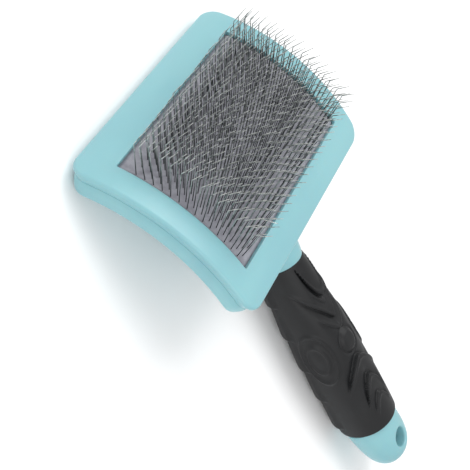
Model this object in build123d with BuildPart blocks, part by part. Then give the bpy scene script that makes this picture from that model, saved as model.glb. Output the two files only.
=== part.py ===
from build123d import *
import os
from math import cos, radians, sin, tan

# Slicker brush lying on its back: +X runs down the handle to its tip, +Y is the width of the head and
# +Z is the pins' side. Z = 0 is the surface that it rests on, and X = 0 is the middle of its length.
# All lengths are in millimetres and all angles in degrees.

# How the brush lies
rest_slope = 1.38  # the handle's axis falls this much towards its tip
head_tilt = 28.3 - rest_slope  # the chord of the curved head climbs this much towards the handle
curve_centre = Vector(-37.227, 0, -48.14)  # centre of the head's curve, below the table

# Head: a slab bent about an axis along Y, with a square window for the pin pad
pad_radius = 94.6  # face of the pin pad
lip_rise = 1.2  # face of the frame above the face of the pad
head_thickness = 12.0
frame_depth = 4.6  # front part of that thickness, the rest is the back shell
frame_half_angle = 28.5
frame_width = 123.2
window_half_angle = 19.24
window_width = 100.0
corner_radius = 8.0
front_edge_radius = 1.2
back_edge_radius = 1.5
pocket_margin = 2.5  # how far the pad reaches under the frame's lip, on each side
pocket_clearance = 0.2

# Pin pad: rubber face on a woven backing, with a foam cushion below
rubber_thickness = 1.2
canvas_thickness = 1.3
foam_thickness = 4.1
crown_gap = 0.5  # between the backing and the foam, for the backs of the staples

# Staples: each is one wire with two pins, set in rows along the curve
wire_diameter = 0.42
pin_pitch = 3.85
staples_per_row = 7
row_count = 42
row_pitch = 2.36
row_middle = 1.96  # the rows' middle along the curve, from the pad's middle towards the handle
knee_height = 14.2
pin_height = 20.0
shank_lean = 20.0  # away from the handle, below the knee
tip_lean = 16.0  # towards the handle, above the knee
bend_radius = 0.8

# Handle: sections across its axis, by distance along it from the head's curve centre
handle_height = 66.85  # axis above the curve's centre
grip_start = 20.4
grip_end = 124.3
grip_wall = 2.2
grip_belly = 0.13  # how much the grip swells at its middle
start_half_width, start_half_height = 10.4, 12.6
end_half_width, end_half_height = 15.2, 15.5
grip_section_count = 6
tip_length = 27.0
tip_half_width, tip_half_height = 15.6, 11.6
tip_rise = 4.6  # the tip's end lies this much above the axis
tip_fullness = 3.0  # how squarely the tip's outline turns in to its end
tip_section_count = 6
hang_hole_run = 139.8
hang_hole_diameter = 9.6
hang_hole_lip = 1.2

front_radius = pad_radius + lip_rise
split_radius = front_radius - frame_depth
back_radius = front_radius - head_thickness
canvas_radius = pad_radius - rubber_thickness
canvas_back_radius = canvas_radius - canvas_thickness
foam_radius = canvas_back_radius - crown_gap
foam_back_radius = foam_radius - foam_thickness

along = Vector(cos(radians(rest_slope)), 0, -sin(radians(rest_slope)))
above = Vector(sin(radians(rest_slope)), 0, cos(radians(rest_slope)))
chord = Vector(cos(radians(head_tilt)), 0, sin(radians(head_tilt)))
head_plane = Plane(origin=curve_centre, x_dir=chord, z_dir=(0, -1, 0))


def degrees_along(distance, radius):
    """Return the angle that an arc of this length and radius turns through."""
    return distance / radius / radians(1)


def bent_slab(inner_radius, outer_radius, half_angle, width):
    """Make a slab bent about the head's curve centre, between two radii and two angles."""
    with BuildPart() as slab:
        with BuildSketch(head_plane):
            with BuildLine():
                outer = CenterArc((0, 0), outer_radius, 90 - half_angle, 2 * half_angle)
                inner = CenterArc((0, 0), inner_radius, 90 - half_angle, 2 * half_angle)
                Line(outer @ 0, inner @ 0)
                Line(outer @ 1, inner @ 1)
            make_face()
        extrude(amount=width / 2, both=True)
    return slab.part


def head_slab(inner_radius, outer_radius):
    """Make a layer of the head's outline, with its four rounded corners."""
    with BuildPart() as slab:
        add(bent_slab(inner_radius, outer_radius, frame_half_angle, frame_width))
        fillet(slab.edges().filter_by(GeomType.LINE).filter_by(Axis.Y, reverse=True), corner_radius)
    return slab.part


def curved_rim(slab, radius):
    """Return the edges round the slab's curved face of this radius."""
    faces = slab.faces().filter_by(GeomType.CYLINDER)
    return faces.filter_by(lambda face: abs(face.radius - radius) < 0.01)[0].edges()


def pad_layer(inner_radius, outer_radius, growth):
    """Make a layer of the pad, which is larger than the window by the growth on each side."""
    half_angle = window_half_angle + degrees_along(growth, outer_radius)
    return bent_slab(inner_radius, outer_radius, half_angle, window_width + 2 * growth)


def station(run, lift=0.0):
    """Return the plane across the handle at this distance along it, lifted above its axis."""
    origin = curve_centre + above * (handle_height + lift) + along * run
    return Plane(origin=origin, x_dir=(0, 1, 0), z_dir=along)


def grip_sizes(fraction):
    """Return the grip's half width and half height at this fraction of its length."""
    swell = 1 + 4 * grip_belly * fraction * (1 - fraction)
    half_width = start_half_width + (end_half_width - start_half_width) * fraction
    half_height = start_half_height + (end_half_height - start_half_height) * fraction
    return half_width * swell, half_height * swell


def grip_body(wall):
    """Loft the grip's outer shape, drawn in by a wall thickness."""
    with BuildPart() as body:
        for index in range(grip_section_count):
            fraction = index / (grip_section_count - 1)
            half_width, half_height = grip_sizes(fraction)
            with BuildSketch(station(grip_start + (grip_end - grip_start) * fraction)):
                Ellipse(half_width - wall, half_height - wall)
        loft()
    return body.part


# Front frame: the bezel whose lip holds the edge of the pad
with BuildPart() as front_frame:
    add(head_slab(split_radius, front_radius))
    fillet(curved_rim(front_frame, front_radius), front_edge_radius)
    add(pad_layer(split_radius - 1, front_radius + 1, 0), mode=Mode.SUBTRACT)
    add(pad_layer(split_radius - 1, pad_radius, pocket_margin), mode=Mode.SUBTRACT)
front_frame.part.label = "front_frame"

# Neck: a throat that narrows from the back of the head to the grip
with BuildPart() as neck:
    for run, lift, half_width, half_height in (
        (grip_start, 0, start_half_width, start_half_height),
        (8, 0.6, 12.0, 13.0),
        (-6, 4.0, 17.0, 12.4),
        (-20, 10.0, 24.0, 7.0),
        (-34, 12.5, 28.0, 2.5),
    ):
        with BuildSketch(station(run, lift)):
            Ellipse(half_width, half_height)
    loft()

# Handle core, which the grip is moulded over, and the bare tip behind it
with BuildPart() as handle_tip:
    for index in range(tip_section_count):
        fraction = 1 - (1 - index / tip_section_count) ** 3
        shrink = (1 - fraction**tip_fullness) ** (1 / tip_fullness)
        with BuildSketch(station(grip_end + tip_length * fraction, tip_rise * fraction)):
            Ellipse(tip_half_width * shrink, tip_half_height * shrink)
    loft()

# Back body: the back shell of the head, the neck, the core and the tip are one moulding
with BuildPart() as back_body:
    add(head_slab(back_radius, split_radius))
    fillet(curved_rim(back_body, back_radius), back_edge_radius)
    add(neck.part)
    add(grip_body(grip_wall))
    add(handle_tip.part)
    add(pad_layer(foam_back_radius, split_radius + 1, pocket_margin), mode=Mode.SUBTRACT)
    with Locations(Location(station(hang_hole_run).origin, (0, rest_slope, 0))):
        Cylinder(hang_hole_diameter / 2, 4 * tip_half_height, mode=Mode.SUBTRACT)
    round_faces = back_body.faces().filter_by(GeomType.CYLINDER)
    bore = round_faces.filter_by(lambda face: abs(face.radius - hang_hole_diameter / 2) < 0.01)
    fillet(bore.edges().filter_by(GeomType.LINE, reverse=True), hang_hole_lip)
back_body.part.label = "back_body"

# Grip: a soft sleeve moulded over the core
with BuildPart() as grip_sleeve:
    add(grip_body(0))
    add(grip_body(grip_wall), mode=Mode.SUBTRACT)
grip_sleeve.part.label = "grip_sleeve"

# Pin pad
fit = pocket_margin - pocket_clearance
with BuildPart() as pad_face:
    add(pad_layer(canvas_radius, pad_radius, fit))
pad_face.part.label = "pad_face"

with BuildPart() as pad_canvas:
    add(pad_layer(canvas_back_radius, canvas_radius, fit))
pad_canvas.part.label = "pad_canvas"

with BuildPart() as foam_cushion:
    add(pad_layer(foam_back_radius, foam_radius, fit))
foam_cushion.part.label = "foam_cushion"

# One staple: up one kneed pin, down to the crown behind the backing, and up the other
crown_depth = pad_radius - canvas_back_radius + wire_diameter / 2
shank_slope = tan(radians(shank_lean))
knee_shift = -shank_slope * knee_height
tip_shift = knee_shift + tan(radians(tip_lean)) * (pin_height - knee_height)
crown_shift = shank_slope * crown_depth
left, right = -pin_pitch / 2, pin_pitch / 2
pad_middle = Plane(origin=head_plane.from_local_coords(Vector(0, pad_radius)), x_dir=chord, z_dir=(0, -1, 0))

with BuildPart() as staple:
    with BuildLine(pad_middle) as wire:
        FilletPolyline(
            (left + tip_shift, pin_height),
            (left + knee_shift, knee_height),
            (left + crown_shift, -crown_depth),
            (right + crown_shift, -crown_depth),
            (right + knee_shift, knee_height),
            (right + tip_shift, pin_height),
            radius=bend_radius,
        )
    with BuildSketch(Plane(origin=wire.line @ 0, z_dir=wire.line % 0)):
        Circle(wire_diameter / 2)
    sweep(path=wire.line)

# A row of staples along the curve: every other row is shifted by half a pitch, towards the handle
curve_axis = Axis(curve_centre, (0, 1, 0))
row_kinds = []
for shift in (-pin_pitch / 4, pin_pitch / 4):
    with BuildPart() as row:
        for index in range(staples_per_row):
            distance = row_middle + shift + (index - (staples_per_row - 1) / 2) * 2 * pin_pitch
            add(staple.part.rotate(curve_axis, degrees_along(distance, pad_radius)))
    row_kinds.append(row.part)

staple_rows = []
for index in range(row_count):
    offset = (index - (row_count - 1) / 2) * row_pitch
    staple_row = row_kinds[index % 2].moved(Location((0, offset, 0)))
    staple_row.label = f"staple_row_{index + 1:02d}"
    staple_rows.append(staple_row)

# One file for each piece
os.makedirs("parts", exist_ok=True)
export_step(front_frame.part, "parts/front_frame.step")
export_step(back_body.part, "parts/back_body.step")
export_step(grip_sleeve.part, "parts/grip_sleeve.step")
export_step(pad_face.part, "parts/pad_face.step")
export_step(pad_canvas.part, "parts/pad_canvas.step")
export_step(foam_cushion.part, "parts/foam_cushion.step")
for staple_row in staple_rows:
    export_step(staple_row, f"parts/{staple_row.label}.step")
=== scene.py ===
"""Slicker brush: moulded head and handle, soft grip with a wave relief, and a pad of kneed wire pins."""

import logging
from dataclasses import dataclass, field
from enum import Enum
from math import cos, pi, radians, sin, tan
from typing import Any, Protocol

import bmesh
import bpy
import numpy as np
from mathutils import Matrix, Vector

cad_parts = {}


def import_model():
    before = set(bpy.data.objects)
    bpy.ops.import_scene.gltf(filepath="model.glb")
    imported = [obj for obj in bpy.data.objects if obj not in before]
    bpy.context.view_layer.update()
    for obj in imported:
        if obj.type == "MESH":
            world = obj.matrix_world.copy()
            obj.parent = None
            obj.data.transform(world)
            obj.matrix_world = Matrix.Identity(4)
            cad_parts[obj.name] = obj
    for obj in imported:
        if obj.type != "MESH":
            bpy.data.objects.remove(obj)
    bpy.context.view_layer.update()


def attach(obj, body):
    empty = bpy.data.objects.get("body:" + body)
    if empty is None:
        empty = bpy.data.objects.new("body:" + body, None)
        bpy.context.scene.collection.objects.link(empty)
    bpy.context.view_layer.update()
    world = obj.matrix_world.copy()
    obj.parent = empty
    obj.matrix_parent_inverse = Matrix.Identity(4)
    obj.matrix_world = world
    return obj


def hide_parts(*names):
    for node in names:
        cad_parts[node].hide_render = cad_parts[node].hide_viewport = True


log = logging.getLogger("slicker_brush")

MM = 0.001
SEED = 20
MERGE_DISTANCE = 0.002 * MM  # points nearer than this become one
SLIVER_LENGTH = 0.0005 * MM  # edges shorter than this are dissolved
Colour = tuple[float, float, float]
Point = tuple[float, float, float]
Pair = tuple[float, float]
Array = np.ndarray
Piece = bpy.types.Object
Material = bpy.types.Material


def srgb(red: float, green: float, blue: float) -> Colour:
    """Turn an 8-bit display colour into linear light.

    Args:
        red: Red from 0 to 255.
        green: Green from 0 to 255.
        blue: Blue from 0 to 255.

    Returns:
        The linear colour.
    """
    parts = np.array([red, green, blue]) / 255
    linear = np.where(parts <= 0.04045, parts / 12.92, ((parts + 0.055) / 1.055) ** 2.4)
    return tuple(float(part) for part in linear)


# ---- shader expressions


class Signal:
    """A shader socket that adds Math nodes when it is used in an expression."""

    def __init__(self, graph: "Graph", socket: Any) -> None:
        """Hold a socket of a graph."""
        self.graph = graph
        self.socket = socket

    def _math(self, operation: str, *values: Any) -> "Signal":
        """Add one Math node over the given values."""
        inputs = dict(enumerate(values))
        return self.graph.node("ShaderNodeMath", {"operation": operation}, inputs)

    def __add__(self, other: Any) -> "Signal":
        """Add."""
        return self._math("ADD", self, other)

    __radd__ = __add__

    def __sub__(self, other: Any) -> "Signal":
        """Subtract."""
        return self._math("SUBTRACT", self, other)

    def __rsub__(self, other: Any) -> "Signal":
        """Subtract this from a number."""
        return self._math("SUBTRACT", other, self)

    def __mul__(self, other: Any) -> "Signal":
        """Multiply."""
        return self._math("MULTIPLY", self, other)

    __rmul__ = __mul__

    def __pow__(self, other: Any) -> "Signal":
        """Raise to a power."""
        return self._math("POWER", self, other)

    def sine(self) -> "Signal":
        """Take the sine."""
        return self._math("SINE", self)

    def clamp(self) -> "Signal":
        """Keep within 0 and 1."""
        return self._math("MINIMUM", self._math("MAXIMUM", self, 0.0), 1.0)

    def step(self, low: float, high: float) -> "Signal":
        """Rise smoothly from 0 at low to 1 at high."""
        settings = {"interpolation_type": "SMOOTHSTEP"}
        inputs = {"Value": self, "From Min": low, "From Max": high}
        return self.graph.node("ShaderNodeMapRange", settings, inputs)


class Graph:
    """The node graph of one material, with its Principled shader."""

    def __init__(self, name: str) -> None:
        """Start a material with nothing but its shader and output."""
        self.material = bpy.data.materials.new(name)
        self.material.use_nodes = True
        self.tree = self.material.node_tree
        self.shader = self.tree.nodes["Principled BSDF"]
        self._place: Signal | None = None

    def node(self, kind: str, settings: dict[str, Any] | None = None, inputs: dict[Any, Any] | None = None,
             output: int | str = 0) -> Signal:
        """Add a node.

        Args:
            kind: The node's type.
            settings: Its settings, which are set first.
            inputs: Values or signals for its sockets, by name or number.
            output: The socket to return, by name or number.

        Returns:
            The chosen output.
        """
        node = self.tree.nodes.new(kind)
        for key, value in (settings or {}).items():
            setattr(node, key, value)
        for key, value in (inputs or {}).items():
            self.feed(node.inputs[key], value)
        return Signal(self, node.outputs[output])

    def feed(self, socket: Any, value: Any) -> None:
        """Link a signal to a socket, or set the socket's value."""
        if isinstance(value, Signal):
            self.tree.links.new(value.socket, socket)
        else:
            opaque = isinstance(value, tuple) and len(socket.default_value) == 4
            socket.default_value = (*value, 1.0) if opaque else value

    def place(self) -> Signal:
        """Return the point's place on the object, in metres."""
        if self._place is None:
            self._place = self.node("ShaderNodeTexCoord", output="Object")
        return self._place

    def noise(self, scale: float, detail: float = 3.0, roughness: float = 0.55,
              stretch: Vector | None = None) -> Signal:
        """Return cloudy noise from 0 to 1.

        Args:
            scale: Features per metre.
            detail: Octaves.
            roughness: Strength of the finer octaves.
            stretch: Factors on the coordinates, which draw the noise out.

        Returns:
            The noise.
        """
        place = self.place()
        if stretch is not None:
            place = self.node("ShaderNodeMapping", None, {"Vector": place, "Scale": stretch})
        return self.node("ShaderNodeTexNoise", None,
                         {"Vector": place, "Scale": scale, "Detail": detail, "Roughness": roughness})

    def cells(self, scale: float) -> Signal:
        """Return the distance to the nearest of many scattered points."""
        return self.node("ShaderNodeTexVoronoi", None, {"Vector": self.place(), "Scale": scale})

    def axis(self, letter: str) -> Signal:
        """Return one coordinate of the point's place."""
        return self.node("ShaderNodeSeparateXYZ", None, {0: self.place()}, letter)

    def blend(self, mask: Signal, first: Any, second: Any) -> Signal:
        """Mix two colours by a mask, which is 0 for the first."""
        return self.node("ShaderNodeMix", {"data_type": "RGBA"}, {0: mask, 6: first, 7: second}, 2)

    def bump(self, height: Signal, distance: float, strength: float = 1.0) -> Signal:
        """Return the normal of a height, whose full range is this distance in metres."""
        inputs = {"Height": height, "Distance": distance, "Strength": strength}
        return self.node("ShaderNodeBump", None, inputs)

    def finish(self, **inputs: Any) -> Material:
        """Feed the shader's sockets, named with underscores for spaces, and return the material."""
        for key, value in inputs.items():
            self.feed(self.shader.inputs[key.replace("_", " ")], value)
        return self.material


# ---- finishes


class Finish(Protocol):
    """Anything that can make a material."""

    def material(self) -> Material:
        """Build the material."""


@dataclass(frozen=True)
class MouldedPlastic:
    """Satin aqua ABS: faint flow streaks, a fine mould texture, and handling marks in the gloss."""

    name: str = "aqua_abs"
    colour: Colour = srgb(132, 183, 189)
    shade: Colour = srgb(125, 176, 184)
    roughness: float = 0.34
    streak_scale: float = 28.0
    texture_scale: float = 2600.0
    mark_scale: float = 160.0

    def material(self) -> Material:
        """Build the material."""
        graph = Graph(self.name)
        streaks = graph.noise(self.streak_scale, 3.0, 0.5, Vector((1.0, 0.35, 1.0)))
        texture = graph.noise(self.texture_scale, 2.0)
        marks = graph.noise(self.mark_scale, 5.0, 0.65)
        scuffs = marks.step(0.56, 0.74)
        colour = graph.blend(streaks.step(0.35, 0.65), self.colour, self.shade)
        return graph.finish(
            Base_Color=colour,
            Roughness=self.roughness + 0.07 * marks + 0.06 * scuffs,
            Normal=graph.bump(texture + 2.0 * marks, 0.00002, 0.5),
            Coat_Weight=0.12, Coat_Roughness=0.3, IOR=1.5,
            Subsurface_Weight=0.08, Subsurface_Scale=0.002)


@dataclass(frozen=True)
class SoftRubber:
    """Black over-moulded rubber: a fine matt grain, patches of dust and a rubbed sheen."""

    name: str = "black_soft_rubber"
    colour: Colour = srgb(18, 19, 21)
    dusty: Colour = srgb(29, 30, 32)
    roughness: float = 0.42
    grain_scale: float = 3800.0
    patch_scale: float = 90.0

    def material(self) -> Material:
        """Build the material."""
        graph = Graph(self.name)
        grain = graph.noise(self.grain_scale, 2.0)
        patches = graph.noise(self.patch_scale, 4.0, 0.6)
        dust = patches.step(0.45, 0.75)
        colour = graph.blend(dust * 0.6 + grain * 0.15, self.colour, self.dusty)
        return graph.finish(
            Base_Color=colour,
            Roughness=self.roughness + 0.12 * patches + 0.05 * grain,
            Normal=graph.bump(grain, 0.00004, 0.45),
            Specular_IOR_Level=0.36, IOR=1.48)


@dataclass(frozen=True)
class PadRubber:
    """Grey pad rubber: mottled, slightly purple, with a fine leathery grain."""

    name: str = "grey_pad_rubber"
    colour: Colour = srgb(141, 142, 150)
    dark: Colour = srgb(122, 122, 131)
    roughness: float = 0.62
    mottle_scale: float = 240.0
    grain_scale: float = 1500.0

    def material(self) -> Material:
        """Build the material."""
        graph = Graph(self.name)
        mottle = graph.noise(self.mottle_scale, 5.0, 0.6)
        grain = graph.cells(self.grain_scale)
        colour = graph.blend(mottle.step(0.35, 0.7), self.colour, self.dark)
        return graph.finish(
            Base_Color=colour,
            Roughness=self.roughness + 0.1 * mottle,
            Normal=graph.bump(grain + mottle, 0.00008, 0.5))


@dataclass(frozen=True)
class DrawnWire:
    """Bright drawn steel wire: fine die lines, a little grey film, and painted shade on the shank below the
    knee.

    The painted shade darkens the shank from the knee down to the pad, by the distance from the head's curve
    axis, and the shank is rougher there.
    """

    name: str = "drawn_steel_wire"
    colour: Colour = srgb(200, 203, 200)
    film: Colour = srgb(104, 109, 107)
    # Painted shade: the dark colour given to the shank near the pad.
    painted_shank_shade: Colour = srgb(66, 70, 71)
    roughness: float = 0.27
    axis_x: float = -0.037227
    # The painted shade is full inside the first radius and gone beyond the second.
    axis_z: float = -0.04814
    painted_shade_full_radius: float = 0.0985
    painted_shade_end_radius: float = 0.1085
    film_scale: float = 520.0
    line_scale: float = 2500.0

    def material(self) -> Material:
        """Build the material."""
        graph = Graph(self.name)
        film = graph.noise(self.film_scale, 3.0, 0.6)
        lines = graph.noise(self.line_scale, 2.0, 0.6, Vector((1.0, 1.0, 0.08)))
        # Painted shade: the wire's colour darkens from the knee down to the pad, by the distance from the
        # curve axis.
        run, lift = graph.axis("X") - self.axis_x, graph.axis("Z") - self.axis_z
        out_of_painted_shade = ((run * run + lift * lift) ** 0.5).step(self.painted_shade_full_radius, self.painted_shade_end_radius)
        upper = graph.blend(film.step(0.35, 0.75), self.colour, self.film)
        return graph.finish(
            Base_Color=graph.blend((out_of_painted_shade + 0.2 * film).clamp(), self.painted_shank_shade, upper),
            Metallic=1.0,
            Roughness=self.roughness + 0.14 * film + 0.06 * lines + 0.22 * (1 - out_of_painted_shade),
            Normal=graph.bump(lines, 0.00001, 0.4))


@dataclass(frozen=True)
class WovenBacking:
    """Cotton backing: a plain weave of over and under threads."""

    name: str = "woven_backing"
    colour: Colour = srgb(196, 188, 168)
    gap: Colour = srgb(120, 112, 96)
    thread_pitch: float = 0.0006
    fuzz_scale: float = 1800.0

    def material(self) -> Material:
        """Build the material."""
        graph = Graph(self.name)
        turn = 2 * pi / self.thread_pitch
        weave = (graph.axis("X") * turn).sine() * (graph.axis("Y") * turn).sine()
        fuzz = graph.noise(self.fuzz_scale)
        colour = graph.blend((0.5 + 0.4 * weave + 0.2 * fuzz).clamp(), self.gap, self.colour)
        return graph.finish(Base_Color=colour, Roughness=0.85 + 0.1 * fuzz,
                            Normal=graph.bump(weave + fuzz, 0.0001, 0.6))


@dataclass(frozen=True)
class CushionFoam:
    """Dark closed-cell foam: small bubbles cut open at the skin."""

    name: str = "cushion_foam"
    colour: Colour = srgb(92, 92, 96)
    cell: Colour = srgb(52, 52, 56)
    bubble_scale: float = 1100.0

    def material(self) -> Material:
        """Build the material."""
        graph = Graph(self.name)
        bubbles = graph.cells(self.bubble_scale)
        colour = graph.blend(bubbles.step(0.2, 0.6), self.cell, self.colour)
        return graph.finish(Base_Color=colour, Roughness=0.85 + 0.1 * bubbles,
                            Normal=graph.bump(bubbles, 0.0002, 0.6))


@dataclass(frozen=True)
class TablePaper:
    """Pale seamless paper with a barely visible tooth."""

    name: str = "table_paper"
    colour: Colour = srgb(250, 250, 250)
    shade: Colour = srgb(247, 247, 248)
    tooth_scale: float = 60.0

    def material(self) -> Material:
        """Build the material."""
        graph = Graph(self.name)
        tooth = graph.noise(self.tooth_scale)
        colour = graph.blend(tooth, self.colour, self.shade)
        return graph.finish(Base_Color=colour, Roughness=0.85 + 0.1 * tooth)


class Slot(Enum):
    """The record's material slots."""

    SHELL = "shell_plastic"
    GRIP = "grip_rubber"
    PAD = "pad_rubber"
    CANVAS = "pad_canvas"
    FOAM = "pad_foam"
    WIRE = "pin_wire"


FINISHES: dict[Slot, Finish] = {
    Slot.SHELL: MouldedPlastic(),
    Slot.GRIP: SoftRubber(),
    Slot.PAD: PadRubber(),
    Slot.CANVAS: WovenBacking(),
    Slot.FOAM: CushionFoam(),
    Slot.WIRE: DrawnWire(),
}


class Wardrobe:
    """Makes each finish's material once and dresses pieces in it."""

    def __init__(self) -> None:
        """Build every material."""
        self.materials = {slot: finish.material() for slot, finish in FINISHES.items()}

    def dress(self, piece: Piece, slot: Slot, *nodes: str) -> Piece:
        """Give a piece its finish and its body, and hide the CAD nodes that it stands for.

        Args:
            piece: The new mesh.
            slot: Its material slot.
            nodes: The CAD nodes that it replaces.

        Returns:
            The piece.
        """
        piece.data.materials.clear()
        piece.data.materials.append(self.materials[slot])
        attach(piece, "root")
        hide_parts(*nodes)
        log.info("%s: %d faces, %s", piece.name, len(piece.data.polygons), slot.value)
        return piece


# ---- shape helpers


def grid_faces(rows: int, columns: int, wrap_rows: bool, wrap_columns: bool) -> Array:
    """Return the quads of a grid of points, each joining a point to its next row and column.

    Args:
        rows: Number of rows.
        columns: Number of points in a row.
        wrap_rows: Whether the last row joins the first.
        wrap_columns: Whether each row is a loop.

    Returns:
        Vertex numbers, four to a face.
    """
    row = np.arange(rows if wrap_rows else rows - 1)[:, None]
    column = np.arange(columns if wrap_columns else columns - 1)[None, :]
    next_row, next_column = (row + 1) % rows, (column + 1) % columns
    corners = [row * columns + column, row * columns + next_column,
               next_row * columns + next_column, next_row * columns + column]
    return np.stack(np.broadcast_arrays(*corners), -1).reshape(-1, 4)


def make_piece(name: str, points: Array, faces: Array,
               crease_angle: float = 42.0) -> Piece:
    """Make a closed, smooth-shaded mesh object, with coincident points merged and normals outward.

    Args:
        name: The piece's name.
        points: Points in millimetres, in the row frame.
        faces: Vertex numbers of the faces.
        crease_angle: Edges sharper than this, in degrees, stay crisp.

    Returns:
        The object.
    """
    mesh = bpy.data.meshes.new(name)
    mesh.from_pydata((points.reshape(-1, 3) * MM).tolist(), [], faces.tolist())
    work = bmesh.new()
    work.from_mesh(mesh)
    bmesh.ops.remove_doubles(work, verts=work.verts, dist=MERGE_DISTANCE)
    bmesh.ops.dissolve_degenerate(work, edges=work.edges, dist=SLIVER_LENGTH)
    bmesh.ops.recalc_face_normals(work, faces=work.faces)
    work.to_mesh(mesh)
    work.free()
    mesh.shade_smooth()
    mesh.set_sharp_from_angle(angle=radians(crease_angle))
    piece = bpy.data.objects.new(name, mesh)
    bpy.context.scene.collection.objects.link(piece)
    return piece


def smooth_through(at: Array, knots: Array, values: Array) -> Array:
    """Interpolate by cubic pieces whose slope at each knot is the slope between its neighbours.

    Args:
        at: Where to evaluate, clamped to the knots' range.
        knots: Rising positions.
        values: One value, or one row of values, for each knot.

    Returns:
        The interpolated values.
    """
    slopes = np.gradient(values, knots, axis=0)
    inside = np.clip(at, knots[0], knots[-1])
    index = np.clip(np.searchsorted(knots, inside, side="right") - 1, 0, len(knots) - 2)
    span = knots[index + 1] - knots[index]
    part = (inside - knots[index]) / span
    if values.ndim > 1:
        span, part = span[:, None], part[:, None]
    first = (1 + 2 * part) * (1 - part) ** 2 * values[index] + part * (1 - part) ** 2 * span * slopes[index]
    second = part**2 * (3 - 2 * part) * values[index + 1] - part**2 * (1 - part) * span * slopes[index + 1]
    return first + second


def rise(value: Array, low: float, high: float) -> Array:
    """Rise smoothly from 0 at low to 1 at high, as 3t squared less 2t cubed."""
    part = np.clip((value - low) / (high - low), 0, 1)
    return part * part * (3 - 2 * part)


def bell(value: Array, width: float) -> Array:
    """Return a bell curve of height 1, as the exponential of minus the square of value over width."""
    return np.exp(-((value / width) ** 2))


def quarter_round(radius: float, count: int = 7) -> tuple[Array, Array]:
    """Return a quarter circle as (distance drawn in, distance short of the top), from the side to the top."""
    turn = np.linspace(0, pi / 2, count)
    return radius * (1 - np.cos(turn)), radius * (1 - np.sin(turn))


def rounded_rectangle(half_length: float, half_width: float, radius: float,
                      side: int, corner: int) -> Array:
    """Return a rectangle with round corners: four quarter circles joined by straight sides.

    Args:
        half_length: Half its first size.
        half_width: Half its second size.
        radius: Radius of its corners.
        side: Points on each straight side.
        corner: Points on each corner.

    Returns:
        A closed loop of points, counterclockwise.
    """
    turn = np.linspace(0, pi / 2, corner)
    signs = np.array([(1, 1), (-1, 1), (-1, -1), (1, -1)])
    starts = np.arange(4) * pi / 2
    middle = signs * np.array([half_length - radius, half_width - radius])
    angle = starts[:, None] + turn[None, :]
    arcs = middle[:, None, :] + radius * np.stack([np.cos(angle), np.sin(angle)], -1)
    part = (np.arange(1, side + 1) / (side + 1))[None, :, None]
    sides = arcs[:, -1:, :] * (1 - part) + np.roll(arcs, -1, 0)[:, :1, :] * part
    return np.concatenate([arcs, sides], 1).reshape(-1, 2)


# ---- the brush's own geometry


@dataclass(frozen=True)
class BrushFrame:
    """Where the curved head and the straight handle lie. Millimetres and degrees, as the solids have them."""

    rest_slope: float = 1.38
    head_tilt: float = 28.3 - rest_slope
    curve_centre: Point = (-37.227, 0.0, -48.14)
    pad_radius: float = 94.6
    handle_height: float = 66.85

    def bend(self, along: Array, across: Array, height: Array) -> Array:
        """Wrap a flat drawing of the head round its curve: length becomes angle, height becomes radius.

        Args:
            along: Distance along the pad's face from its middle, towards the handle.
            across: Distance from the middle plane.
            height: Distance above the pad's face.

        Returns:
            Points in the row frame.
        """
        angle = along / self.pad_radius - radians(self.head_tilt)
        radius = self.pad_radius + height
        run, lift = radius * np.sin(angle), radius * np.cos(angle)
        centre = self.curve_centre
        return np.stack([centre[0] + run, across + 0 * run, centre[2] + lift], -1)

    def handle(self, run: Array, across: Array, lift: Array) -> Array:
        """Place points by their distance down the handle, off the middle plane, and above the axis."""
        slope = radians(self.rest_slope)
        height = lift + self.handle_height
        x = self.curve_centre[0] + run * cos(slope) + height * sin(slope)
        z = self.curve_centre[2] - run * sin(slope) + height * cos(slope)
        return np.stack(np.broadcast_arrays(x, across, z), -1)


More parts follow.
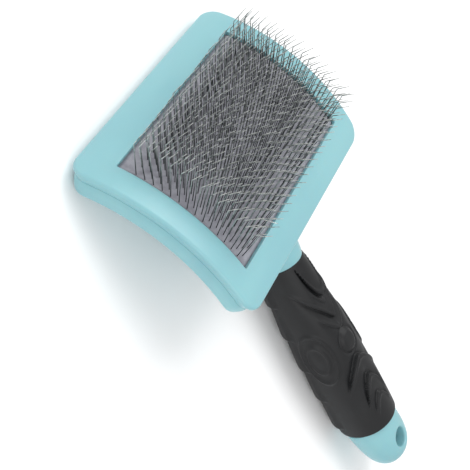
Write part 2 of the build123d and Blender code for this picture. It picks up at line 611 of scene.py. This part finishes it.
@dataclass
class Head:
    """The front frame and the back shell: one rounded outline, bent about the head's curve."""

    brush: BrushFrame
    wardrobe: Wardrobe
    half_angle: float = 28.5
    half_width: float = 61.6
    corner_radius: float = 8.0
    window_half_angle: float = 19.24
    window_half_width: float = 50.0
    window_corner: float = 0.7
    lip_rise: float = 1.2
    thickness: float = 12.0
    split_depth: float = 3.4
    front_edge: float = 1.5
    back_edge: float = 2.0
    lip_edge: float = 0.4
    seam: float = 0.25
    crown: float = 0.25
    lip_cover: float = 2.4
    inner_wall_end: float = -0.6
    cove_depth: float = 1.0
    cove_height: float = -3.1
    cove_reach: float = 1.8
    seam_height: float = 0.12
    hidden_ledge: float = 4.0
    side_points: int = 44
    corner_points: int = 14
    front_wall_points: int = 9
    back_wall_points: int = 10
    face_points: int = 9
    back_points: int = 14

    def loop(self, inset: float) -> Array:
        """Return the head's outline drawn in by a distance."""
        half_length = radians(self.half_angle) * self.brush.pad_radius
        return rounded_rectangle(half_length - inset, self.half_width - inset, self.corner_radius - inset,
                                 self.side_points, self.corner_points)

    def wall(self, high: float, low: float, count: int) -> tuple[list[Array], list[float]]:
        """Build the side wall between two heights, drawn in by a bell curve that makes its shallow cove."""
        heights = np.linspace(high, low, count)
        insets = self.cove_depth * bell(heights - self.cove_height, self.cove_reach)
        return [self.loop(inset) for inset in insets], list(heights)

    def window_loop(self, outset: float) -> Array:
        """Return the window's outline drawn out by a distance."""
        half_length = radians(self.window_half_angle) * self.brush.pad_radius
        return rounded_rectangle(half_length + outset, self.window_half_width + outset,
                                 self.window_corner + outset, self.side_points, self.corner_points)

    def surface(self, name: str, loops: list[Array], heights: list[float],
                ring: bool) -> Piece:
        """Carry loops at their heights round the head's curve and skin them.

        Args:
            name: The piece's name.
            loops: Outlines in the flat drawing of the head.
            heights: Each outline's height above the pad's face.
            ring: Whether the last loop joins the first.

        Returns:
            The object.
        """
        flat = np.stack(loops)
        points = self.brush.bend(flat[..., 0], flat[..., 1], np.array(heights)[:, None])
        return make_piece(name, points, grid_faces(len(loops), flat.shape[1], ring, True))

    def front_frame(self) -> Piece:
        """Build the bezel: up the side wall, over a slightly crowned face, and down the window's lip."""
        drawn, short = quarter_round(self.front_edge)
        loops = [self.loop(self.cove_depth + self.seam)]
        heights = [-self.split_depth]
        wall_loops, wall_heights = self.wall(-self.split_depth + self.seam_height,
                                             self.lip_rise - self.front_edge, self.front_wall_points)
        loops += wall_loops[:-1] + [self.loop(inset) for inset in drawn]
        heights += wall_heights[:-1] + [self.lip_rise - gap for gap in short]
        outer, inner = self.loop(self.front_edge), self.window_loop(self.lip_edge)
        parts = np.linspace(0, 1, self.face_points)[1:]
        loops += [outer * (1 - part) + inner * part for part in parts]
        heights += [self.lip_rise + self.crown * sin(pi * part) for part in parts]
        drawn, short = quarter_round(self.lip_edge, 4)
        loops += [self.window_loop(inset) for inset in drawn[::-1]]
        heights += [self.lip_rise - gap for gap in short[::-1]]
        loops += [self.window_loop(0.0), self.window_loop(self.lip_cover), self.window_loop(self.lip_cover)]
        heights += [self.inner_wall_end, self.inner_wall_end, -self.split_depth]
        return self.wardrobe.dress(self.surface("bezel", loops, heights, True), Slot.SHELL, "front_frame")

    def back_shell(self) -> Piece:
        """Build the shell: a flat top under the bezel, a side wall, and a back with a large round edge."""
        drawn, short = quarter_round(self.back_edge, 9)
        floor = self.lip_rise - self.thickness
        top = -self.split_depth
        loops = [self.loop(self.hidden_ledge) * part for part in (0.0, 0.5, 1.0)]
        loops += [self.loop(self.cove_depth + self.seam)]
        heights = [top, top, top, top]
        wall_loops, wall_heights = self.wall(top - self.seam_height, floor + self.back_edge,
                                             self.back_wall_points)
        loops += wall_loops[:-1] + [self.loop(inset) for inset in drawn]
        heights += wall_heights[:-1] + [floor + gap for gap in short]
        parts = np.linspace(1, 0, self.back_points)[1:]
        loops += [self.loop(self.back_edge) * part for part in parts]
        heights += [floor] * len(parts)
        return self.wardrobe.dress(self.surface("back_shell", loops, heights, False), Slot.SHELL, "back_body")

    def build(self) -> list[Piece]:
        """Build both halves."""
        return [self.front_frame(), self.back_shell()]


@dataclass
class Handle:
    """The neck and the bare tip, which show at the two ends of the grip."""

    brush: BrushFrame
    wardrobe: Wardrobe
    around: int = 96
    neck_runs: tuple[float, ...] = (-34.0, -20.0, -6.0, 8.0, 20.4, 21.2)
    neck_lifts: tuple[float, ...] = (12.5, 10.0, 4.0, 0.6, 0.0, 0.0)
    neck_half_widths: tuple[float, ...] = (28.0, 24.0, 17.0, 12.0, 10.4, 10.2)
    neck_half_heights: tuple[float, ...] = (2.5, 7.0, 12.4, 13.0, 12.6, 12.4)
    grip_end: float = 124.3
    tip_length: float = 27.0
    tip_half_width: float = 15.6
    tip_half_height: float = 11.6
    tip_rise: float = 4.6
    tip_fullness: float = 3.0
    tip_hidden: float = 0.5
    hole_run: float = 139.8
    hole_radius: float = 4.8
    hole_lip: float = 1.5
    neck_sections: int = 60
    tip_rays: int = 160
    ray_reach: float = 45.0
    ray_samples: int = 1500
    ray_points: int = 40
    lip_points: int = 8
    points_under_lip: int = 6

    def neck(self) -> Piece:
        """Build the throat: ellipses along the handle, whose sizes run smoothly through the stations."""
        knots = np.array(self.neck_runs)
        sizes = np.stack([self.neck_lifts, self.neck_half_widths, self.neck_half_heights], -1)
        runs = np.linspace(knots[0], knots[-1], self.neck_sections)
        lift, half_width, half_height = smooth_through(runs, knots, sizes).T
        turn = np.linspace(0, 2 * pi, self.around, endpoint=False)
        scale = np.concatenate([[0.0], np.ones(len(runs)), [0.0]])[:, None]
        runs, lift, half_width, half_height = (np.pad(values, 1, mode="edge")[:, None]
                                               for values in (runs, lift, half_width, half_height))
        points = self.brush.handle(runs + 0 * turn, scale * half_width * np.cos(turn),
                                   lift + scale * half_height * np.sin(turn))
        faces = grid_faces(len(runs), self.around, False, True)
        return self.wardrobe.dress(make_piece("neck", points, faces), Slot.SHELL, "back_body")

    def tip_section(self, run: Array) -> tuple[Array, Array]:
        """Return how far along the tip a run is, from 0 to 1, and how much its section shrinks there."""
        part = np.clip((run - self.grip_end) / self.tip_length, 0, 1)
        return part, (1 - part**self.tip_fullness) ** (1 / self.tip_fullness)

    def tip(self) -> Piece:
        """Build the tip as rays from the hang hole to the outline, over the top and back below.

        Each ray starts at the hole's wall and ends on the outline, where the upper and the lower
        surface meet. The surfaces are those of ellipses that shrink towards the end, and the hole's
        lips are quarter circles.
        """
        turn = np.linspace(0, 2 * pi, self.tip_rays, endpoint=False)[None, :]
        reach = np.linspace(0, self.ray_reach, self.ray_samples)[:, None]
        run = self.hole_run + reach * np.cos(turn)
        across = reach * np.sin(turn)
        shrink = self.tip_section(run)[1]
        inside = np.abs(across) < self.tip_half_width * shrink
        inside &= run > self.grip_end - self.tip_hidden
        inside &= run < self.grip_end + self.tip_length
        edge = (inside * reach).max(0)[None, :]
        part = np.sin(np.linspace(0, pi / 2, self.ray_points))[:, None]
        ray = self.hole_radius + (edge - self.hole_radius) * part
        lips = self.hole_radius + quarter_round(self.hole_lip, self.lip_points)[0][:, None] + 0 * turn
        ray = np.sort(np.concatenate([lips, ray[self.points_under_lip:]], 0), 0)
        run, across = self.hole_run + ray * np.cos(turn), ray * np.sin(turn)
        part, shrink = self.tip_section(run)
        rim = np.sqrt(np.clip(1 - (across / (self.tip_half_width * shrink + 1e-9)) ** 2, 0, 1))
        half = self.tip_half_height * shrink * rim
        half[-1] = np.where(run[-1] < self.grip_end, half[-1], 0.0)
        short = np.clip(self.hole_radius + self.hole_lip - ray, 0, self.hole_lip)
        dip = self.hole_lip - np.sqrt(self.hole_lip**2 - short**2)
        middle = self.tip_rise * part
        top = self.brush.handle(run, across, middle + half - dip)
        bottom = self.brush.handle(run, across, middle - half + dip)
        points = np.concatenate([top, bottom[::-1]])
        faces = grid_faces(len(points), points.shape[1], True, True)
        return self.wardrobe.dress(make_piece("handle_tip", points, faces, 60.0), Slot.SHELL, "back_body")

    def build(self) -> list[Piece]:
        """Build both bare ends of the handle."""
        return [self.neck(), self.tip()]


@dataclass(frozen=True)
class Wave:
    """One groove of the grip's relief: an arch over the top, steep on one side and gentle on the other.

    The arch's run is the crest plus the sweep times the angle off the top, over the span, to a power.
    """

    crest: float
    sweep: float
    span: float
    power: float
    depth: float
    recovery: float
    facing: int
    reach: float
    turned: float = 0.0

    def run_at(self, angle: Array) -> Array:
        """Return where the arch is at each signed angle off the top, in degrees."""
        return self.crest + self.sweep * (np.abs(angle - self.turned) / self.span) ** self.power


@dataclass
class Grip:
    """The soft sleeve: a swelling tube whose surface carries waves, a thumb oval and a swirl on each side."""

    brush: BrushFrame
    wardrobe: Wardrobe
    start: float = 20.4
    end: float = 124.3
    start_half_width: float = 10.4
    start_half_height: float = 12.6
    end_half_width: float = 15.2
    end_half_height: float = 15.5
    belly: float = 0.13
    wall: float = 2.2
    edge_round: float = 1.2
    end_step: float = 3.0
    crown_angle: float = 97.0
    along_points: int = 420
    around_points: int = 220
    waves: tuple[Wave, ...] = (
        Wave(crest=22.5, sweep=-19.0, span=34.0, power=2.4,
             depth=2.2, recovery=5.0, facing=1, reach=24.0, turned=-9.0),
        Wave(crest=26.5, sweep=-9.0, span=24.0, power=1.5,
             depth=0.5, recovery=2.5, facing=1, reach=10.0),
        Wave(crest=35.5, sweep=-9.0, span=25.0, power=0.95,
             depth=2.0, recovery=4.5, facing=1, reach=24.0),
        Wave(crest=42.0, sweep=-10.2, span=36.0, power=1.42,
             depth=0.8, recovery=3.0, facing=1, reach=12.0),
        Wave(crest=60.2, sweep=10.5, span=41.0, power=1.6,
             depth=2.3, recovery=5.5, facing=-1, reach=17.0),
        Wave(crest=72.3, sweep=9.5, span=23.0, power=1.7,
             depth=2.1, recovery=5.0, facing=-1, reach=18.0),
        Wave(crest=84.5, sweep=9.5, span=24.0, power=1.7,
             depth=1.1, recovery=3.5, facing=-1, reach=10.0),
    )
    wave_edge: Pair = (-0.5, 0.8)
    wave_fade: float = 0.55
    lip_height: float = 0.6
    lip_place: float = 1.6
    lip_width: float = 1.4
    oval_run: float = 49.9
    oval_half_length: float = 6.5
    oval_half_angle: float = 21.0
    oval_height: float = 0.9
    oval_edge: Pair = (0.6, 1.02)
    moat_depth: float = 0.7
    moat_place: float = 1.12
    moat_width: float = 0.12
    swirl_run: float = 50.8
    swirl_angle: float = 71.0
    swirl_half_length: float = 14.3
    swirl_half_angle: float = 28.0
    swirl_clearing: float = 0.8
    swirl_edge: Pair = (0.9, 1.2)
    ring_shapes: tuple[tuple[float, float, float], ...] = ((0.85, 1.0, 0.08), (0.75, 0.56, 0.1))
    dome_height: float = 0.5
    dome_reach: float = 0.9
    step_start: float = 0.8
    step_length: float = 19.6
    step_height: float = 1.5
    step_sides: Pair = (96.0, 112.0)
    step_bottom: Pair = (140.0, 160.0)
    first_step: Pair = (2.0, 6.0)
    last_step: Pair = (97.0, 100.0)
    plain_start: Pair = (0.5, 4.0)
    plain_end: Pair = (97.0, 101.0)
    cut_from: float = 4.0
    cut_to: float = 1.0
    core_from: float = 6.0
    end_points: int = 4
    core_points: int = 10

    def sizes(self, part: Array) -> tuple[Array, Array]:
        """Return the half width and half height at a fraction of the length, which swell at the middle."""
        swell = 1 + 4 * self.belly * part * (1 - part)
        return ((self.start_half_width + (self.end_half_width - self.start_half_width) * part) * swell,
                (self.start_half_height + (self.end_half_height - self.start_half_height) * part) * swell)

    def relief(self, run: Array, turn: Array) -> Array:
        """Return the height of the relief.

        Each wave is a sharp step down across its arch and a slow climb back, as the decay of an
        exponential. The oval is a flat-topped bump in a narrow moat, and the swirl is two rings, each
        with a height, a place and a width, about a shallow dome. Saw-toothed finger steps cross the
        sides of the underside.

        Args:
            run: Distance from the grip's start.
            turn: Angle round the grip in degrees, with 90 at the top.

        Returns:
            Height in millimetres.
        """
        angle = (turn - self.crown_angle + 180) % 360 - 180
        off = np.abs(angle)
        height = np.zeros_like(run + off)
        for wave in self.waves:
            arch = wave.run_at(angle)
            past = (run - arch) * wave.facing
            fade = 1 - rise(np.abs(arch - wave.crest), self.wave_fade * wave.reach, wave.reach)
            decay = np.exp(-np.clip(past, 0, None) / wave.recovery)
            height -= wave.depth * fade * rise(past, *self.wave_edge) * decay
            height += self.lip_height * fade * bell(past + self.lip_place, self.lip_width)
        oval = np.hypot((run - self.oval_run) / self.oval_half_length, off / self.oval_half_angle)
        moat = self.moat_depth * bell(oval - self.moat_place, self.moat_width)
        height += self.oval_height * (1 - rise(oval, *self.oval_edge)) - moat
        swirl = np.hypot((run - self.swirl_run) / self.swirl_half_length,
                         (off - self.swirl_angle) / self.swirl_half_angle)
        height *= 1 - self.swirl_clearing * (1 - rise(swirl, *self.swirl_edge))
        height += sum(tall * bell(swirl - place, width) for tall, place, width in self.ring_shapes)
        height += self.dome_height * (1 - rise(swirl, 0.0, self.dome_reach))
        steps = (run - self.step_start) / self.step_length
        saw = (steps % 1.0) * (1 - rise(steps % 1.0, 0.9, 1.0))
        height += (self.step_height * saw * rise(off, *self.step_sides) * (1 - rise(off, *self.step_bottom))
                   * rise(run, *self.first_step) * (1 - rise(run, *self.last_step)))
        ends = rise(run, *self.plain_start) * (1 - rise(run, *self.plain_end))
        return height * ends

    def build(self) -> list[Piece]:
        """Build the sleeve: out over the relief, round the far end, and back inside along the core."""
        length = self.end - self.start
        turn = np.linspace(0, 2 * pi, self.around_points, endpoint=False)[None, :]
        drawn, short = quarter_round(self.edge_round, 6)
        inner = np.linspace(self.edge_round, length - self.edge_round, self.along_points)
        run = np.concatenate([short[::-1], inner[1:-1], length - short])
        shrink = np.concatenate([drawn[::-1], 0 * inner[1:-1], drawn])
        half_width, half_height = self.sizes(run / length)
        height = self.relief(run[:, None], np.degrees(turn)) - shrink[:, None]
        outer = self.brush.handle(self.start + run[:, None] + 0 * turn,
                                  (half_width[:, None] + height) * np.cos(turn),
                                  (half_height[:, None] + height) * np.sin(turn))
        core = np.concatenate([np.linspace(length, length - self.cut_from, self.end_points),
                               np.linspace(length - self.core_from, 0, self.core_points)])
        core_width, core_height = self.sizes(core / length)
        cut = self.end_step * rise(core, length - self.cut_from, length - self.cut_to)
        core_height = core_height - cut
        inside = self.brush.handle(self.start + core[:, None] + 0 * turn,
                                   (core_width[:, None] - self.wall) * np.cos(turn),
                                   (core_height[:, None] - self.wall) * np.sin(turn))
        points = np.concatenate([outer, inside])
        faces = grid_faces(len(points), self.around_points, True, True)
        return [self.wardrobe.dress(make_piece("soft_grip", points, faces, 70.0), Slot.GRIP, "grip_sleeve")]


@dataclass
class PinPad:
    """The cushioned pad: rubber face, woven backing and foam, each a bent sheet."""

    brush: BrushFrame
    wardrobe: Wardrobe
    half_angle: float = 19.24
    half_width: float = 50.0
    growth: float = 2.3
    rubber: float = 1.2
    canvas: float = 1.3
    crown_gap: float = 0.5
    foam: float = 4.1
    groove_depth: float = 0.9
    groove_width: float = 1.3
    face_points: tuple[int, int] = (150, 210)
    layer_points: tuple[int, int] = (24, 2)

    def sheet(self, name: str, top: float, bottom: float, columns: int, rows: int,
              drop: float) -> Piece:
        """Build a closed bent sheet, whose top drops at its held edges and rises just inside the window.

        Args:
            name: The piece's name.
            top: Height of its top above the pad's face.
            bottom: Height of its underside.
            columns: Points along the curve.
            rows: Points across the head.
            drop: How far the held edges lie below the rest of the top.

        Returns:
            The object.
        """
        half_length = radians(self.half_angle) * self.brush.pad_radius + self.growth
        half_width = self.half_width + self.growth
        along = np.linspace(-half_length, half_length, columns)[:, None]
        across = np.linspace(-half_width, half_width, rows)[None, :]
        limits = self.growth, self.growth + self.groove_width
        free = rise(half_length - np.abs(along), *limits) * rise(half_width - np.abs(across), *limits)
        upper = self.brush.bend(along + 0 * across, across + 0 * along, top - drop * (1 - free))
        lower = self.brush.bend(along + 0 * across, across + 0 * along, bottom + 0 * free)
        stitch = np.concatenate([lower[:, :1], upper, lower[:, ::-1]], 1)
        faces = grid_faces(columns, stitch.shape[1], False, True)
        caps = self.end_caps(columns, rows, stitch.shape[1])
        return make_piece(name, stitch, np.concatenate([faces, caps]))

    @staticmethod
    def end_caps(columns: int, rows: int, width: int) -> Array:
        """Return the quads that close a sheet's two ends, between its upper and its lower edge."""
        step = np.arange(rows - 1)
        upper, lower = step + 1, width - 1 - step
        first = np.stack([upper, upper + 1, lower - 1, lower], -1)
        return np.concatenate([first, first[:, ::-1] + (columns - 1) * width])

    def build(self) -> list[Piece]:
        canvas_top = -self.rubber
        foam_top = canvas_top - self.canvas - self.crown_gap
        face = self.sheet("pad_skin", 0.0, canvas_top, *self.face_points, self.groove_depth)
        backing = self.sheet("pad_backing", canvas_top, canvas_top - self.canvas, *self.layer_points, 0.0)
        foam = self.sheet("pad_foam", foam_top, foam_top - self.foam, *self.layer_points, 0.0)
        self.wardrobe.dress(face, Slot.PAD, "pad_face")
        self.wardrobe.dress(backing, Slot.CANVAS, "pad_canvas")
        self.wardrobe.dress(foam, Slot.FOAM, "foam_cushion")
        return [face, backing, foam]


@dataclass
class PinField:
    """The rows of wire staples. Each staple is one wire with two kneed pins, set by hand into the pad."""

    brush: BrushFrame
    wardrobe: Wardrobe
    rows: int = 42
    row_pitch: float = 2.36
    staples: int = 7
    pin_pitch: float = 3.85
    row_middle: float = 1.96
    wire_radius: float = 0.21
    knee_height: float = 14.2
    pin_height: float = 20.0
    shank_lean: float = 20.0
    tip_lean: float = 16.0
    crown_depth: float = 2.71
    sides: int = 5
    crown_round: float = 0.8
    knee_reach: float = 0.6
    knee_lift: float = 0.1
    knee_ease: float = 0.06
    tip_size: float = 0.6
    tip_length: float = 0.4
    lean_spread: float = 1.1
    side_spread: float = 0.8
    height_spread: float = 0.2
    first_pin_ease: float = 5.0
    bent_pin: tuple[int, int, int] = (3, 6, 0)
    bent_pin_lean: float = 26.0
    bent_pin_tilt: float = 3.0
    random: np.random.Generator = field(default_factory=lambda: np.random.default_rng(SEED))

    def wire_paths(self, row: int) -> Array:
        """Return the centre lines of a row's staples in the flat drawing of the head.

        A pin climbs from the crown at its lean, turns over a short bend at the knee, and ends at its tip. The
        leans, heights and sideways tilts are scattered about their means.

        Args:
            row: The row's number from the near side.

        Returns:
            Points as (along, across, height), for each staple and each step along its wire.
        """
        shift = self.pin_pitch / 4 * (1 if row % 2 else -1)
        across = (row - (self.rows - 1) / 2) * self.row_pitch
        places = (np.arange(self.staples) - (self.staples - 1) / 2) * 2 * self.pin_pitch
        middles = self.row_middle + shift + places
        shape = (self.staples, 2)
        lean = np.radians(self.shank_lean + self.random.normal(0, self.lean_spread, shape))
        upper = np.radians(self.tip_lean + self.random.normal(0, self.lean_spread, shape))
        tilt = np.radians(self.random.normal(0, self.side_spread, shape))
        lean[0, 0] -= radians(self.first_pin_ease)
        if row == self.bent_pin[0]:
            upper[self.bent_pin[1:]] += radians(self.bent_pin_lean)
            tilt[self.bent_pin[1:]] += radians(self.bent_pin_tilt)
        reach = self.pin_height - self.knee_height + self.random.normal(0, self.height_spread, shape)
        base = middles[:, None] + np.array([-0.5, 0.5]) * self.pin_pitch
        knee = base - np.tan(lean) * self.knee_height
        bend, level = self.knee_reach, 0 * reach
        heights = np.stack([-self.crown_depth + level, -self.crown_depth + self.crown_round + level, level,
                            self.knee_height - bend + level, self.knee_height + self.knee_lift + level,
                            self.knee_height + bend + level, self.knee_height + reach], -1)
        mean = tan(radians(self.shank_lean))
        low = base + mean * self.crown_depth
        along = np.stack([low, low - mean * self.crown_round, base, knee + np.tan(lean) * bend,
                          knee + self.knee_ease * bend, knee + np.tan(upper) * bend,
                          knee + np.tan(upper) * reach], -1)
        sideways = np.tan(tilt)[..., None] * np.clip(heights, 0, None)
        pins = np.stack([along, across + sideways, heights], -1)
        return np.concatenate([pins[:, 0, ::-1], pins[:, 1]], 1)

    def tubes(self, paths: Array) -> tuple[Array, Array]:
        """Carry a small polygon along each wire.

        At every step, one radius of the polygon is square to the wire within the row's plane and the other
        points across the row.

        Args:
            paths: Centre lines in the row frame.

        Returns:
            The tubes' points and faces.
        """
        count, steps = paths.shape[:2]
        heading = np.gradient(paths, axis=1)
        heading /= np.linalg.norm(heading, axis=-1, keepdims=True)
        level = np.broadcast_to(np.array([0.0, 1.0, 0.0]), heading.shape)
        side = np.cross(heading, level)
        side /= np.linalg.norm(side, axis=-1, keepdims=True)
        level = np.cross(side, heading)
        turn = np.linspace(0, 2 * pi, self.sides, endpoint=False)
        ring = side[..., None, :] * np.cos(turn)[:, None] + level[..., None, :] * np.sin(turn)[:, None]
        size = np.ones(steps)
        size[[0, -1]] = self.tip_size
        rings = paths[..., None, :] + ring * self.wire_radius * size[:, None, None]
        ends = np.stack([paths[:, 0], paths[:, -1]], 1)
        ends = ends + np.stack([-heading[:, 0], heading[:, -1]], 1) * self.wire_radius * self.tip_length
        first = np.repeat(ends[:, :1, None], self.sides, 2)
        last = np.repeat(ends[:, 1:, None], self.sides, 2)
        points = np.concatenate([first, rings, last], 1)
        faces = grid_faces(steps + 2, self.sides, False, True)
        faces = faces[None] + (np.arange(count) * (steps + 2) * self.sides)[:, None, None]
        return points, faces.reshape(-1, 4)

    def build(self) -> list[Piece]:
        """Build each row as one piece."""
        pieces = []
        for row in range(self.rows):
            flat = self.wire_paths(row)
            points, faces = self.tubes(self.brush.bend(flat[..., 0], flat[..., 1], flat[..., 2]))
            piece = make_piece(f"pins_row_{row + 1:02d}", points, faces, 80.0)
            pieces.append(self.wardrobe.dress(piece, Slot.WIRE, f"staple_row_{row + 1:02d}"))
        return pieces


# ---- table, light and camera


@dataclass(frozen=True)
class Lamp:
    """A square lamp: its place and the length of its side in metres, and its power in watts."""

    name: str
    place: Point
    size: float
    power: float


@dataclass
class Studio:
    """A pale table, soft lights and the camera."""

    eye: Point = (-0.232018, -0.289382, 0.275446)
    look: Point = (0.45034, 0.65149, -0.61054)
    roll: float = 81.011
    lens: float = 75.365
    sensor_width: float = 36.0
    table_size: float = 3.0
    world_light: float = 0.78
    lamps: tuple[Lamp, ...] = (
        Lamp("key", (-0.5, 0.3, 0.85), 0.7, 6.0),
        Lamp("fill", (0.1, -0.7, 0.6), 0.6, 2.5),
    )

    def table(self) -> None:
        """Lay the table."""
        half = self.table_size / 2
        mesh = bpy.data.meshes.new("table")
        corners = [(-half, -half, 0), (half, -half, 0), (half, half, 0), (-half, half, 0)]
        mesh.from_pydata(corners, [], [(0, 1, 2, 3)])
        mesh.materials.append(TablePaper().material())
        table = bpy.data.objects.new("table", mesh)
        bpy.context.scene.collection.objects.link(table)

    def hang(self, lamp: Lamp) -> None:
        """Hang a lamp, turned to face the brush."""
        data = bpy.data.lights.new(lamp.name, "AREA")
        data.size = lamp.size
        data.energy = lamp.power
        hung = bpy.data.objects.new(lamp.name, data)
        hung.location = lamp.place
        hung.rotation_euler = (-Vector(lamp.place)).to_track_quat("-Z", "Y").to_euler()
        bpy.context.scene.collection.objects.link(hung)

    def world(self) -> None:
        """Fill the room with even white light."""
        world = bpy.data.worlds.new("room")
        world.use_nodes = True
        background = world.node_tree.nodes["Background"]
        background.inputs["Color"].default_value = (1.0, 1.0, 1.0, 1.0)
        background.inputs["Strength"].default_value = self.world_light
        bpy.context.scene.world = world

    def camera(self) -> None:
        """Set the camera, turned about its own line of sight by the roll."""
        data = bpy.data.cameras.new("camera")
        data.lens = self.lens
        data.sensor_width = self.sensor_width
        camera = bpy.data.objects.new("camera", data)
        aim = Vector(self.look).to_track_quat("-Z", "Y").to_matrix()
        turn = aim @ Matrix.Rotation(radians(self.roll), 3, "Z")
        camera.matrix_world = Matrix.Translation(self.eye) @ turn.to_4x4()
        bpy.context.scene.collection.objects.link(camera)
        bpy.context.scene.camera = camera

    def build(self) -> None:
        """Set up the whole studio."""
        self.table()
        self.world()
        for lamp in self.lamps:
            self.hang(lamp)
        self.camera()
        bpy.context.scene.view_settings.view_transform = "Standard"


def main() -> None:
    """Build the brush round its solids, dress it, and log how many pieces each group makes."""
    logging.basicConfig(level=logging.INFO, format="%(message)s")
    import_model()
    brush, wardrobe = BrushFrame(), Wardrobe()
    groups = [Head(brush, wardrobe), Handle(brush, wardrobe), Grip(brush, wardrobe), PinPad(brush, wardrobe),
              PinField(brush, wardrobe)]
    for group in groups:
        pieces = group.build()
        log.info("%s: %d pieces", type(group).__name__, len(pieces))
    Studio().build()


if __name__ == "__main__":
    main()
